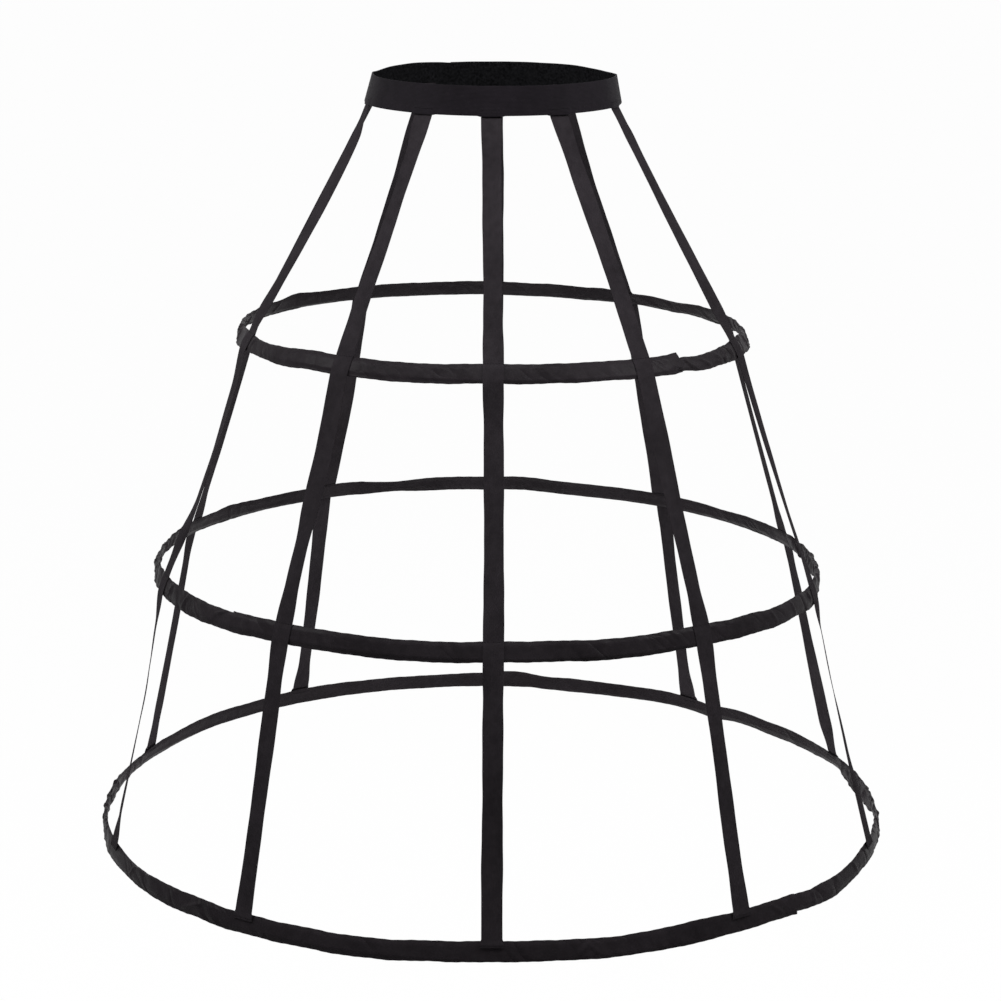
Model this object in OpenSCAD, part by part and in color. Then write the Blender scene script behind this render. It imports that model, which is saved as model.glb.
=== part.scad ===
// Crinoline cage: a woven elastic waistband, ten hanging tapes and three boned hoops.
// Lengths are in millimetres. The front faces -Y, and the origin is the middle of the waist opening.
// Each angle about the waist, or turn, is in degrees from the centre front, positive to the left (+X).

/* [Waistband] */
// Outer radius of the waistband at its top edge
waist_top_r = 121.5; // [110:0.5:135]
// How much wider, on the radius, the tapes pull the waistband's bottom edge
band_flare = 7; // [0:0.5:12]
// Width of the waistband, down its slope
band_w = 29; // [22:0.5:45]
// Thickness of the waistband's elastic
band_t = 1.5; // [1:0.1:2.5]
// Length of the sewn lap that joins the waistband's two ends
band_lap = 14; // [8:1:20]
// Angle of the waistband's sewn lap
band_lap_angle = 199; // [195:1:201]

/* [Hoops] */
// Radius of the top hoop, at the middle of its casing
top_hoop_r = 257; // [220:1:290]
// Radius of the middle hoop
middle_hoop_r = 342.5; // [310:1:370]
// Radius of the bottom hoop
bottom_hoop_r = 407.5; // [380:1:450]
// Drop from the waistband's bottom edge to the top hoop
upper_drop = 233; // [180:1:280]
// Drop from the top hoop to the middle hoop
middle_drop = 245.6; // [200:1:290]
// Drop from the middle hoop to the bottom hoop
lower_drop = 266; // [220:1:310]

/* [Hang] */
// How far the back of the top hoop hangs above its middle
top_back_rise = -3.3; // [-8:0.1:8]
// How far the back of the middle hoop hangs above its middle
middle_back_rise = -1.4; // [-8:0.1:8]
// How far the back of the bottom hoop hangs above its middle
bottom_back_rise = 5.7; // [-8:0.1:8]
// How far the +X side of the top hoop hangs above its middle
top_side_rise = -3.9; // [-8:0.1:8]
// How far the +X side of the middle hoop hangs above its middle
middle_side_rise = -6; // [-8:0.1:8]
// How far the +X side of the bottom hoop hangs above its middle
bottom_side_rise = -2.9; // [-8:0.1:8]
// How far the top hoop hangs to the +X side of the waist
top_shift = -1.5; // [-8:0.1:8]
// How far the middle hoop hangs to the +X side of the waist
middle_shift = -6.5; // [-8:0.1:8]
// How far the bottom hoop hangs to the +X side of the waist
bottom_shift = -3.5; // [-8:0.1:8]

/* [Tapes] */
// Width of the hanging tapes
tape_w = 20; // [14:0.5:25]
// Thickness of a tape
tape_t = 0.8; // [0.5:0.1:1.2]
// How far a tape's top end reaches up inside the waistband
tape_tuck = 9; // [6:0.5:18]
// How far a tape's folded foot reaches down the bottom hoop's casing
tape_foot = 9.5; // [7:0.5:13]
// How much of a tape's end is turned under in its foot
tape_turn_under = 7; // [5:0.5:8]
// Angle at which the front pair of tapes leaves the waistband
front_waist_angle = 31; // [28:0.5:38]
// Angle at which the front pair of tapes crosses the bottom hoop
front_hem_angle = 36; // [31:0.5:41]
// Angle at which the side pair of tapes leaves the waistband
side_waist_angle = 73; // [66:0.5:80]
// Angle at which the side pair of tapes crosses the bottom hoop
side_hem_angle = 71; // [66:0.5:77]
// Angle at which the rear side pair of tapes leaves the waistband
rear_side_waist_angle = 108; // [102:0.5:114]
// Angle at which the rear side pair of tapes crosses the bottom hoop
rear_side_hem_angle = 112; // [104:0.5:114]
// Angle at which the back pair of tapes leaves the waistband
back_waist_angle = 147; // [140:0.5:152]
// Angle at which the back pair of tapes crosses the bottom hoop
back_hem_angle = 146; // [140:0.5:152]

/* [Casings] */
// Width of a hoop's flattened cloth casing
casing_w = 21; // [18:0.5:30]
// Thickness of one layer of the casing's satin
satin_t = 0.5; // [0.3:0.05:0.8]
// Height of the gathers that stand out of a casing between the tapes
gather_h = 1.2; // [0:0.1:2]
// Distance from one gather to the next
gather_pitch = 38; // [34:1:60]
// Length over which a casing's end laps over its start
casing_lap = 22; // [12:1:34]

/* [Bones] */
// Width of the flat steel bone in each hoop
bone_w = 7; // [5:0.5:9]
// Thickness of a bone
bone_t = 1.2; // [0.6:0.1:2]
// Gap between a bone's two ends inside its sleeve
bone_gap = 3; // [1:0.5:8]
// Length of the sleeve that joins a bone's ends
sleeve_l = 36; // [24:1:60]
// Wall of the sleeve
sleeve_wall = 0.4; // [0.3:0.05:0.8]
// Angle of the top hoop's join
top_join_angle = 45; // [44:1:64]
// Angle of the middle hoop's join
middle_join_angle = -45; // [-64:1:-44]
// Angle of the bottom hoop's join
bottom_join_angle = 44; // [42:1:66]

/* [Clearances] */
// Gap between a tape and the cloth that it is sewn to
seat_play = 0.2; // [0.15:0.05:0.4]
// Gap between the two layers of a tape's foot
fold_play = 0.15; // [0.1:0.05:0.3]
// Gap between a bone and its sleeve
sleeve_play = 0.08; // [0.05:0.01:0.2]
// Gap between a sleeve and the casing round it
channel_play = 0.2; // [0.1:0.05:0.4]

/* [Hidden] */
TAPES = [
    "tape_front", "tape_front_left", "tape_side_left", "tape_rear_side_left", "tape_back_left",
    "tape_back", "tape_back_right", "tape_rear_side_right", "tape_side_right", "tape_front_right"
];
CASINGS = ["top_casing", "middle_casing", "bottom_casing"];
BONES = ["top_bone", "middle_bone", "bottom_bone"];
SLEEVES = ["top_bone_sleeve", "middle_bone_sleeve", "bottom_bone_sleeve"];
$fn = 144;

FABRIC = [0.16, 0.15, 0.17];
SATIN = [0.1, 0.09, 0.11];
STEEL = [0.6, 0.61, 0.63];

// Hoops, from the top down
TOP = 0;
BOTTOM = 2;
hoop_r = [top_hoop_r, middle_hoop_r, bottom_hoop_r];
back_rise = [top_back_rise, middle_back_rise, bottom_back_rise];
side_rise = [top_side_rise, middle_side_rise, bottom_side_rise];
hoop_shift = [top_shift, middle_shift, bottom_shift];
join_turn = [top_join_angle, middle_join_angle, bottom_join_angle];

// The waistband is a cone about Z, half above and half below the origin
band_slope = asin(band_flare / band_w);
band_mid_r = waist_top_r + band_flare / 2;
band_low_z = -band_w / 2 * cos(band_slope);
hoop_z = [
    band_low_z - upper_drop,
    band_low_z - upper_drop - middle_drop,
    band_low_z - upper_drop - middle_drop - lower_drop
];

// Each casing leans as the tapes above it do
function lean(r_above, z_above, r, z) = atan2(r - r_above, z_above - z);
slope = [
    lean(waist_top_r + band_flare, band_low_z, hoop_r[0], hoop_z[0]),
    lean(hoop_r[0], hoop_z[0], hoop_r[1], hoop_z[1]),
    lean(hoop_r[1], hoop_z[1], hoop_r[2], hoop_z[2])
];

// The sleeve slides over the bone, and the casing's channel is open round the sleeve
sleeve_hole = [bone_t + 2 * sleeve_play, bone_w + 2 * sleeve_play];
sleeve_size = sleeve_hole + [2 * sleeve_wall, 2 * sleeve_wall];
channel = sleeve_size + [2 * channel_play, 2 * channel_play];
casing_half_t = channel[0] / 2 + satin_t;
casing_flat = channel[1] / 2 + satin_t;

// A tape's outer face lies this far out of the middle of a casing
tape_seat = casing_half_t + seat_play + tape_t;
foot_seat = tape_seat + fold_play + tape_t;
// A tape bends this far below the waistband's edge
bend_room = 1.5;

// Turns of the tapes on the wearer's left, from the front one to the back one
waist_turn = [0, front_waist_angle, side_waist_angle, rear_side_waist_angle, back_waist_angle, 180];
hem_turn = [0, front_hem_angle, side_hem_angle, rear_side_hem_angle, back_hem_angle, 180];
half_count = len(TAPES) / 2;

// The same turns, mirrored for the wearer's right
function mirrored(list, i) = i <= half_count ? list[i] : -list[len(TAPES) - i];

// A tape hangs in an upright plane through its places on the waistband and on the bottom hoop
function at_turn(r, turn) = [r * sin(turn), -r * cos(turn)];
function plane_turn(i) =
    let (
        a = at_turn(waist_top_r + band_flare, mirrored(waist_turn, i)),
        b = at_turn(hoop_r[BOTTOM], mirrored(hem_turn, i))
    )
    atan2(b[0] - a[0], a[1] - b[1]);
function plane_off(i) =
    (waist_top_r + band_flare) * sin(mirrored(waist_turn, i) - plane_turn(i));
PLANE = [for (i = [0:len(TAPES) - 1]) [plane_turn(i), plane_off(i)]];

// How far tape i's plane passes from the middle of hoop k, and the turn where it crosses
function off_at(i, k) = PLANE[i][1] - hoop_shift[k] * cos(PLANE[i][0]);
function cross_turn(i, k) = PLANE[i][0] + asin(off_at(i, k) / hoop_r[k]);

// How far a circle reaches along a line that passes this far from its middle
function reach(r, off) = sqrt(r * r - off * off);

// Points of a section are [across, up]: across is outwards, and up is up the slope
function place_2d(r, z, lean_a, p) = [
    r + p[0] * cos(lean_a) - p[1] * sin(lean_a),
    z + p[0] * sin(lean_a) + p[1] * cos(lean_a)
];

// How far hoop k lies above its middle at a turn
function lift(k, turn) = side_rise[k] * sin(turn) - back_rise[k] * cos(turn);

// A point of hoop k's section, in the plane of tape i, where the whole width of the tape clears
function at_hoop(i, k, p) =
    let (
        rise = lift(k, cross_turn(i, k)),
        q = place_2d(hoop_r[k], hoop_z[k] + rise, slope[k] + asin(rise / hoop_r[k]), p)
    )
    [
        hoop_shift[k] * sin(PLANE[i][0]) + reach(q[0], max(0, abs(off_at(i, k)) - tape_w / 2)),
        q[1]
    ];

// A point inside the waistband in the plane of tape i, where both of the tape's edges clear
function at_band(i, p) =
    let (q = place_2d(band_mid_r, 0, band_slope, p))
    [reach(q[0], abs(PLANE[i][1]) + tape_w / 2), q[1]];

// One face of a tape from its top end down to its foot, depth below its outer face
function tape_face(i, depth) =
    let (inside = -band_t - seat_play)
    concat(
        [
            at_band(i, [inside - depth, tape_tuck - band_w / 2]),
            at_band(i, [inside - depth, -bend_room - band_w / 2])
        ],
        [for (k = [TOP:BOTTOM - 1], end = [1, -1])
            at_hoop(i, k, [tape_seat - depth, end * casing_w / 2])],
        [at_hoop(i, BOTTOM, [foot_seat - depth, casing_w / 2])]
    );

// The rounded fold of the foot, and the end that is turned under behind it
function tape_fold(i) =
    let (
        fold_r = tape_t + fold_play / 2,
        middle = foot_seat - fold_r,
        low = casing_w / 2 - tape_foot + fold_r,
        high = casing_w / 2 - tape_foot + tape_turn_under
    )
    concat(
        [for (a = [0:-30:-180])
            at_hoop(i, BOTTOM, [middle + fold_r * cos(a), low + fold_r * sin(a)])],
        [
            at_hoop(i, BOTTOM, [middle - fold_r, high]),
            at_hoop(i, BOTTOM, [middle - fold_play / 2, high]),
            at_hoop(i, BOTTOM, [middle - fold_play / 2, low]),
            at_hoop(i, BOTTOM, [middle + fold_play / 2, low])
        ]
    );

function reversed(list) = [for (i = [len(list) - 1:-1:0]) list[i]];

module tape(i) {
    color(FABRIC)
    rotate([0, 0, PLANE[i][0] - 90])
    translate([0, PLANE[i][1], 0])
    rotate([90, 0, 0])
    linear_extrude(tape_w, center = true)
    polygon(concat(tape_face(i, 0), tape_fold(i), reversed(tape_face(i, tape_t))));
}

// Section of the band: a strip with round edges, standing on the slope
module band_section(inset) {
    translate([band_mid_r, 0])
    rotate(band_slope)
    translate([-inset - band_t / 2, 0])
    union() {
        square([band_t, band_w - band_t], center = true);
        for (end = [1, -1])
            translate([0, end * (band_w - band_t) / 2])
            circle(d = band_t);
    }
}

module waistband() {
    lap_a = band_lap / band_mid_r * 180 / PI;
    color(FABRIC)
    union() {
        rotate_extrude() band_section(0);
        // The under end of the elastic, sewn flat inside the outer one
        rotate([0, 0, band_lap_angle - 90 - lap_a / 2])
        rotate_extrude(angle = lap_a) band_section(band_t * 0.9);
    }
}

module hang(k) {
    translate([hoop_shift[k], 0, hoop_z[k]])
    rotate([asin(back_rise[k] / hoop_r[k]), -asin(side_rise[k] / hoop_r[k]), 0])
    children();
}

// A flat bar bent round hoop k, from one turn to another
module ring_bar(k, size, from_turn, to_turn) {
    rotate([0, 0, from_turn - 90])
    rotate_extrude(angle = to_turn - from_turn)
    translate([hoop_r[k], 0])
    rotate(slope[k])
    square(size, center = true);
}

function arc_turn(k, length) = length / hoop_r[k] * 180 / PI;

// The smallest turn between two turns
function apart(a, b) = abs(a - b - 360 * round((a - b) / 360));

// Gathers die away under the tapes, so that each tape lies flat
function between_tapes(k, turn) =
    let (
        off = min([for (i = [0:len(TAPES) - 1]) apart(turn, cross_turn(i, k))]),
        flat_a = arc_turn(k, tape_w / 2 + 4),
        full_a = arc_turn(k, tape_w / 2 + 16)
    )
    max(0, min(1, (off - flat_a) / (full_a - flat_a)));

// Height of the slanting gathers on one face of hoop k
function gather(k, turn, up) =
    let (
        along = turn / 360 * round(2 * PI * hoop_r[k] / gather_pitch) * 360,
        slant = up * 9
    )
    gather_h * between_tapes(k, turn)
        * (0.55 + 0.45 * sin(along + slant + 70 * sin(turn * 3 + k * 50)));

// The end of the casing that laps over its start is a little fuller
function lap_swell(k, turn) =
    let (off = abs(turn - join_turn[k]) / arc_turn(k, casing_lap / 2))
    off < 1 ? satin_t : 0;

// The casing's outline at one turn: thin sewn edges and a flat that holds the channel
function casing_outline(k, turn) =
    let (
        swell = lap_swell(k, turn),
        edge = casing_w / 2 + swell,
        ruck = gather(k, turn, edge) - gather_h * 0.5 * between_tapes(k, turn),
        out = casing_half_t + swell,
        upper = gather(k, turn, casing_flat),
        lower = gather(k, turn, -casing_flat)
    )
    [
        [satin_t, edge + ruck],
        [out + upper, casing_flat],
        [out + lower, -casing_flat],
        [satin_t, -edge + ruck],
        [-satin_t, -edge + ruck],
        [-out - lower / 2, -casing_flat],
        [-out - upper / 2, casing_flat],
        [-satin_t, edge + ruck]
    ];

// A closed ring swept through the outlines, with round(360 / turn step) stations
module swept_ring(k, stations) {
    count = len(casing_outline(k, 0));
    points = [for (i = [0:stations - 1])
        let (turn = i * 360 / stations - 180)
        for (p = casing_outline(k, turn))
        let (q = place_2d(hoop_r[k], 0, slope[k], p))
        [q[0] * sin(turn), -q[0] * cos(turn), q[1]]];
    faces = [for (i = [0:stations - 1], j = [0:count - 1])
        let (
            here = i * count,
            next = (i + 1) % stations * count,
            j2 = (j + 1) % count
        )
        for (face = [[here + j, next + j, next + j2], [here + j, next + j2, here + j2]])
        face];
    polyhedron(points, faces);
}

module casing(k) {
    station_l = 9;
    stations = len(TAPES) * round(2 * PI * hoop_r[k] / station_l / len(TAPES));
    color(SATIN)
    hang(k)
    difference() {
        swept_ring(k, stations);
        rotate_extrude()
        translate([hoop_r[k], 0])
        rotate(slope[k])
        square(channel, center = true);
    }
}

module bone(k) {
    gap_a = arc_turn(k, bone_gap);
    color(STEEL)
    hang(k)
    ring_bar(k, [bone_t, bone_w], join_turn[k] + gap_a / 2, join_turn[k] + 360 - gap_a / 2);
}

module bone_sleeve(k) {
    half_a = arc_turn(k, sleeve_l) / 2;
    past = 1.1;
    color(STEEL)
    hang(k)
    difference() {
        ring_bar(k, sleeve_size, join_turn[k] - half_a, join_turn[k] + half_a);
        ring_bar(k, sleeve_hole, join_turn[k] - past * half_a, join_turn[k] + past * half_a);
    }
}

waistband();
for (i = [0:len(TAPES) - 1]) {
    tape(i);
}
for (k = [TOP:BOTTOM]) {
    casing(k);
    bone(k);
    bone_sleeve(k);
}
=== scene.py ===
"""Looks of a crinoline cage: satin casings, woven tapes, an elastic waistband and their sewing.

Lengths are in metres and angles in degrees. A turn is an angle about the waist from the centre
front, positive to the wearer's left (+X). A place on a hoop is given by its turn, by how far it
lies across, outwards from the middle of the casing, and by how far it lies up the casing's slope.
"""

import math
import random

import bpy
import numpy as np
from mathutils import Matrix, Vector


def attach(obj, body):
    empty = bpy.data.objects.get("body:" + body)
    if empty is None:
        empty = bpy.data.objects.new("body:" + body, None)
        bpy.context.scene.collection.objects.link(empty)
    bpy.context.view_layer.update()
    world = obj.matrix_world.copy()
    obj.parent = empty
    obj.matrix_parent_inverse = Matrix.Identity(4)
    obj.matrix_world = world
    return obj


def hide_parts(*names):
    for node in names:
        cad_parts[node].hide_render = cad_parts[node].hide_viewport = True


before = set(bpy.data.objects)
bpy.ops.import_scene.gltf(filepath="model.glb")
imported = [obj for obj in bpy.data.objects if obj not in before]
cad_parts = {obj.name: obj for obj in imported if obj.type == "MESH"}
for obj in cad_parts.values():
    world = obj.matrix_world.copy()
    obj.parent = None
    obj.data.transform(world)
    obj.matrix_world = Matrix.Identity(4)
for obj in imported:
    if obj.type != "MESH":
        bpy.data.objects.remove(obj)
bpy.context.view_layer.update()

TAPES = (
    "tape_front", "tape_front_left", "tape_side_left", "tape_rear_side_left", "tape_back_left",
    "tape_back", "tape_back_right", "tape_rear_side_right", "tape_side_right", "tape_front_right",
)
HOOPS = ("top", "middle", "bottom")
TOP, MIDDLE, BOTTOM = range(3)

# Camera
CAMERA_PLACE = (0.0067, -3.0101, 0.3185)
CAMERA_DIP = 13.921
CAMERA_LENS = 107.37
SENSOR = 36
# The waist hangs this high over the floor, as it would be worn
WAIST_HEIGHT = 1.04

FLOOR_COLOUR = (0.75, 0.75, 0.75)
# Share of the floor that shows plain white, beside the share that takes light and shadow
FLOOR_GLOW = 0.98
WORLD_LIGHT = 0.06

# Waistband
BAND_W = 0.029
BAND_T = 0.0015
# The band hangs this far over to the wearer's right, and its left side is this much lower
BAND_SHIFT = 0.0001
BAND_TILT = 0.0007
# It bulges by this much at both sides, and hangs unevenly: turn, half width in turns, lift in metres
BAND_BULGE = 0.00125
BAND_LIFTS = ((-137, 22, 0.0014), (112, 30, -0.0022), (-106, 14, -0.0012))
# Its top edge leans to the left by this share of the height
BAND_LEAN = 0.05
# Tapes
TAPE_W = 0.020
TAPE_T = 0.0005
# Step between the rows of points along a tape
TAPE_STEP = 0.0025
TAPE_COLUMNS = 8

# Casings
CASING_HALF_W = 0.0099
CASING_HALF_T = 0.0014
# Share of the thickness left beside the casing's edges, and how blunt the edges are
CASING_THIN = 0.24
CASING_NOSE = 0.0004
SATIN_T = 0.0002
CASING_STEP = 0.0020
CASING_SIDES = 36
CASING_LAP = 0.016
# Room that the steel bone and its sleeve take inside, out from the middle of the bone and up it,
# and how far up and down from that middle the cloth has to reach
BONE_ROOM = 0.0014
BONE_REACH = 0.0045
BONE_COVER = 0.0046
# Past BONE_REACH the cloth may come in again, by this share of the way gone
BONE_EASE = 0.5
# Where the upper end of each casing's lap lies, and the way that it points
LAP_TURN = (45, -46, 47)
# Under that end the other one has this share of the width, drawn in at its top (1) or bottom (-1)
LAP_SHARE = (0.72, 0.94, 0.88)
LAP_EDGE = (1, 1, -1)
LAP_FADE = 0.075
# Length over which the tucked end thins, and over which the upper end swells
TUCK_FADE = 0.030
SWELL_FADE = 0.022
# How far a tape's outer face lies from the middle of a casing that it is sewn to, and the play
# between a tape and the inside of the waistband
TAPE_SEAT = CASING_HALF_T + 0.00012 + TAPE_T
BAND_PLAY = 0.0002
# How wide the folded foot of a tape spreads, at its fold and at its ends, as a share of the width
FOOT_WIDE = 1.13
FOOT_EASED = 1.08
# Stitches
STITCH_L = 0.0023
STITCH_PITCH = 0.0027
STITCH_R = 0.00022


def clear_selection():
    """Deselects everything, so that an operator acts on the new piece alone."""
    for obj in bpy.context.selected_objects:
        obj.select_set(False)


def make_active(obj):
    clear_selection()
    obj.select_set(True)
    bpy.context.view_layer.objects.active = obj


def apply_modifier(obj, kind, **values):
    """Adds a modifier with these values and applies it."""
    make_active(obj)
    modifier = obj.modifiers.new(kind.lower(), kind)
    for name, value in values.items():
        setattr(modifier, name, value)
    bpy.ops.object.modifier_apply(modifier=modifier.name)


def smooth_step(x, low, high):
    """Rises softly from 0 at low to 1 at high."""
    t = np.clip((np.asarray(x, float) - low) / (high - low), 0, 1)
    return t * t * (3 - 2 * t)


def bump_at(x, middle, half):
    """A soft bump of height 1 at the middle, gone at half to each side of it."""
    return smooth_step(-np.abs(np.asarray(x, float) - middle), -half, 0)


def apart(a, b):
    """The turn from b to a the short way round."""
    return (np.asarray(a, float) - b + 180) % 360 - 180


# What the frame gives


def read_all(items, key, width):
    """A value of every item in a list of a mesh, as rows of this width."""
    flat = np.zeros(len(items) * width)
    items.foreach_get(key, flat)
    return flat.reshape(-1, width)


def node_points(name):
    return read_all(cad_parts[name].data.vertices, "co", 3)


def read_hoop(index):
    """Middle, radius and tilt of a hoop, measured on its steel bone."""
    points = node_points(HOOPS[index] + "_bone")
    middle = points.mean(0)
    normal = np.linalg.svd(points - middle)[2][2]
    normal = normal * math.copysign(1, normal[2])
    side = np.array([1, 0, 0]) - normal * normal[0]
    side = side / np.linalg.norm(side)
    axes = np.array([side, np.cross(normal, side), normal])
    flat = (points - middle) @ axes.T
    system = np.column_stack([2 * flat[:, :2], np.ones(len(flat))])
    x, y, rest = np.linalg.lstsq(system, (flat[:, :2] ** 2).sum(1), rcond=None)[0]
    radius = math.sqrt(rest + x * x + y * y)
    return {"middle": middle + np.array([x, y, 0]) @ axes, "axes": axes, "radius": radius}


def read_band():
    """Outer radius and height of the waistband's two edges."""
    points = node_points("waistband")
    reach = np.hypot(points[:, 0], points[:, 1])
    high, low = points[:, 2].max(), points[:, 2].min()
    return {
        "top_r": reach[points[:, 2] > high - 0.001].max(),
        "low_r": reach[points[:, 2] < low + 0.001].max(),
        "top_z": high,
        "low_z": low,
    }


def read_tape(name):
    """The upright plane that a tape hangs in, as its turn and its distance from the waist's axis."""
    points = node_points(name)
    head = points[points[:, 2] > points[:, 2].max() - 0.003].mean(0)
    foot = points[points[:, 2] < points[:, 2].min() + 0.006].mean(0)
    plane = math.atan2(foot[0] - head[0], head[1] - foot[1])
    off = head[0] * math.cos(plane) + head[1] * math.sin(plane)
    return {"plane": plane, "off": off}


band = read_band()
hoops = [read_hoop(index) for index in range(len(HOOPS))]
tapes = [read_tape(name) for name in TAPES]

band_slope = math.atan2(band["low_r"] - band["top_r"], band["top_z"] - band["low_z"])
above_r, above_z = band["low_r"], band["low_z"]
for hoop in hoops:
    hoop["lean"] = math.atan2(hoop["radius"] - above_r, above_z - hoop["middle"][2])
    above_r, above_z = hoop["radius"], hoop["middle"][2]


def crossing(tape, hoop):
    """The turn at which a tape crosses a hoop."""
    side = math.cos(tape["plane"]), math.sin(tape["plane"])
    off = tape["off"] - hoop["middle"][0] * side[0] - hoop["middle"][1] * side[1]
    return math.degrees(tape["plane"] + math.asin(off / hoop["radius"]))


def leaving(tape):
    """The turn at which a tape leaves the waistband."""
    return math.degrees(tape["plane"] + math.asin(tape["off"] / band["low_r"]))


for hoop in hoops:
    hoop["crossings"] = [crossing(tape, hoop) for tape in tapes]


# How the hoops hang

# Twice round each hoop its height swings by these amounts, with the cosine and the sine
SWING = ((0.0017, 0.0009), (0.0021, 0.0009), (0.0031, 0.0017))
# Each tape draws its hoop up a little, and the hoop sags between tapes
TAPE_PULL = 0.0006
# Local lifts of a casing off its even course: turn, half width in turns, lift in millimetres
KINKS = (
    ((-126, 12, 2.2), (-45, 8, 0.8), (14, 8, 1.2), (64, 8, -1), (121, 6, 1.2), (130, 5, -1.2),
     (150, 9, 1), (164, 9, 1.2), (-165, 18, 0.7), (23, 9, 1.2), (0, 9, 0.6), (-41, 6, 0.6),
     (46, 5, 2.2), (57, 7, -0.8), (133, 5, -0.8), (-178, 9, 0.6), (-154, 7, 0.5), (-122, 6, 0.6)),
    ((-49, 10, -0.8), (-22, 8, 0.8), (-7, 8, -0.8), (12, 7, 0.9), (38, 12, 1), (49, 6, 1.4),
     (130, 8, -1), (173, 9, 2.2), (-172, 9, 1.2), (-151, 9, 1.7), (-124, 7, 1), (-49, 5, 1),
     (-19, 8, -0.5), (5, 6, 0.5), (176, 14, 1.2), (71, 8, -2.6), (-151, 7, 0.5)),
    ((-38, 7, -1.1), (-19, 8, -1.1), (-9, 7, -0.7), (31, 9, 0.8), (57, 11, -2.8), (129, 6, -0.8),
     (141, 7, -3), (150, 5, 1.4), (176, 6, 4), (-178, 8, 1.6), (-152, 18, 2.4), (-127, 12, 3.6),
     (-45, 5, 0.7), (-30, 6, -0.7), (-13.5, 4, -0.6), (-8, 4, 0.7), (16, 5, -0.9), (41, 5, 0.7),
     (50, 5, -1.5), (-140, 28, 1.3), (-172, 18, 1.2), (177, 6, 1.6), (141.5, 5, -2.6),
     (115, 7, -2.4), (-106, 8, -2.5), (-140, 20, 1), (-60, 5, -1.6), (-164, 8, 0.8),
     (129, 5, -1), (154, 5, 0.7)),
)
# Where a casing twists off the slope or narrows: turn, half width in turns, twist, share of width
TWISTS = (
    ((-62, 14, 0, 0.8), (60, 12, 0, 0.86), (129, 11, 0, 0.72), (143, 9, 8, 0.80),
     (-124, 8, -8, 1.08), (-90, 14, -10, 0.9)),
    ((-161, 7, 10, 0.70), (130, 7, 0, 0.86), (-86, 12, -6, 0.95), (88, 18, -14, 0.85), (60, 12, 0, 0.92),
     (-124, 8, -6, 1.08)),
    ((-90, 18, -17, 0.84), (90, 14, 8, 1), (112, 8, 6, 0.94), (170, 4, 0, 0.94), (-61, 9, 0, 0.78),
     (62, 8, 0, 0.88), (28, 8, 0, 1.1), (168, 12, 0, 1.1), (-106, 9, 0, 0.68), (115, 8, 0, 0.74)),
)
# At the back each casing leans in by this much more than the slope of the tapes
BACK_LEAN = (6, 13, 13)
# Where the lower half of a casing tips inwards: turn, half width in turns, degrees
TIPS = (
    ((-93, 14, 12),),
    ((96, 15, 24),),
    ((99, 17, 30),),
)


def to_seam(turn, seams, radius):
    """How far a turn is from the nearest of the tapes' seams, along a ring of this radius."""
    gaps = [np.abs(apart(turn, seam)) for seam in seams]
    return np.radians(np.min(gaps, axis=0)) * radius


def rise_of(index, turn):
    """How far the middle of a casing lies up the slope from the steel bone's."""
    turn = np.asarray(turn, float)
    twice = np.radians(2 * turn)
    swing = SWING[index][0] * np.cos(twice) + SWING[index][1] * np.sin(twice)
    pull = TAPE_PULL * np.cos(np.radians(turn * len(TAPES)))
    kinks = sum(lift * bump_at(apart(turn, at), 0, half) for at, half, lift in KINKS[index])
    return swing + pull + kinks / 1000


def twisted(index, turn, across, up):
    """A place on a casing once the casing's twist has turned it about its bone."""
    twist = BACK_LEAN[index] * smooth_step(np.abs(apart(turn, 0)), 95, 140)
    for at, half, degrees, _ in TWISTS[index]:
        twist = twist + degrees * bump_at(apart(turn, at), 0, half)
    angle = np.radians(twist)
    return across * np.cos(angle) - up * np.sin(angle), across * np.sin(angle) + up * np.cos(angle)


def place_on(index, turn, across, up):
    """Points on a hoop's section, measured from its steel bone."""
    hoop = hoops[index]
    lean, angle = hoop["lean"], np.radians(turn)
    reach = hoop["radius"] + across * math.cos(lean) - up * math.sin(lean)
    height = across * math.sin(lean) + up * math.cos(lean)
    local = np.stack([reach * np.sin(angle), -reach * np.cos(angle), height], axis=-1)
    return hoop["middle"] + local @ hoop["axes"]


def place_on_band(turn, across, up):
    """Points on the waistband's section, measured from its outer face half way down."""
    angle = np.radians(turn)
    middle_r = (band["top_r"] + band["low_r"]) / 2
    reach = middle_r + across * math.cos(band_slope) - up * math.sin(band_slope)
    reach = reach + BAND_BULGE * smooth_step(np.abs(np.sin(angle)), 0.7, 1)
    height = across * math.sin(band_slope) + up * math.cos(band_slope) - BAND_TILT * np.sin(angle)
    height = height + sum(lift * bump_at(apart(turn, at), 0, half) for at, half, lift in BAND_LIFTS)
    aside = reach * np.sin(angle) - BAND_SHIFT + BAND_LEAN * height
    return np.stack([aside, -reach * np.cos(angle), height], axis=-1)


def on_casing(index, turn, across, up):
    """A point on a casing, measured from the middle of its width where it hangs and twists."""
    return place_on(index, turn, *twisted(index, turn, across, float(rise_of(index, turn)) + up))


def new_strip(name, rows, columns):
    """A flat strip of cloth from a grid, and each point's share of its length and width."""
    clear_selection()
    bpy.ops.mesh.primitive_grid_add(x_subdivisions=rows, y_subdivisions=columns, size=1)
    strip = bpy.context.object
    strip.name = name
    strip.data.name = name
    flat = read_all(strip.data.vertices, "co", 3) + 0.5
    return strip, flat[:, 0], flat[:, 1]


def shape_strip(strip, points, length, width):
    """Moves the strip's points into place, and lays its UV map out in metres of cloth."""
    strip.data.vertices.foreach_set("co", points.astype(np.float32).ravel())
    layer = strip.data.uv_layers.active
    flat = read_all(layer.data, "uv", 2) * (length, width)
    layer.data.foreach_set("uv", flat.astype(np.float32).ravel())
    layer.name = "cloth"
    strip.data.update()


def set_smooth(obj, angle=50):
    make_active(obj)
    bpy.ops.object.shade_smooth_by_angle(angle=math.radians(angle))


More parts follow.
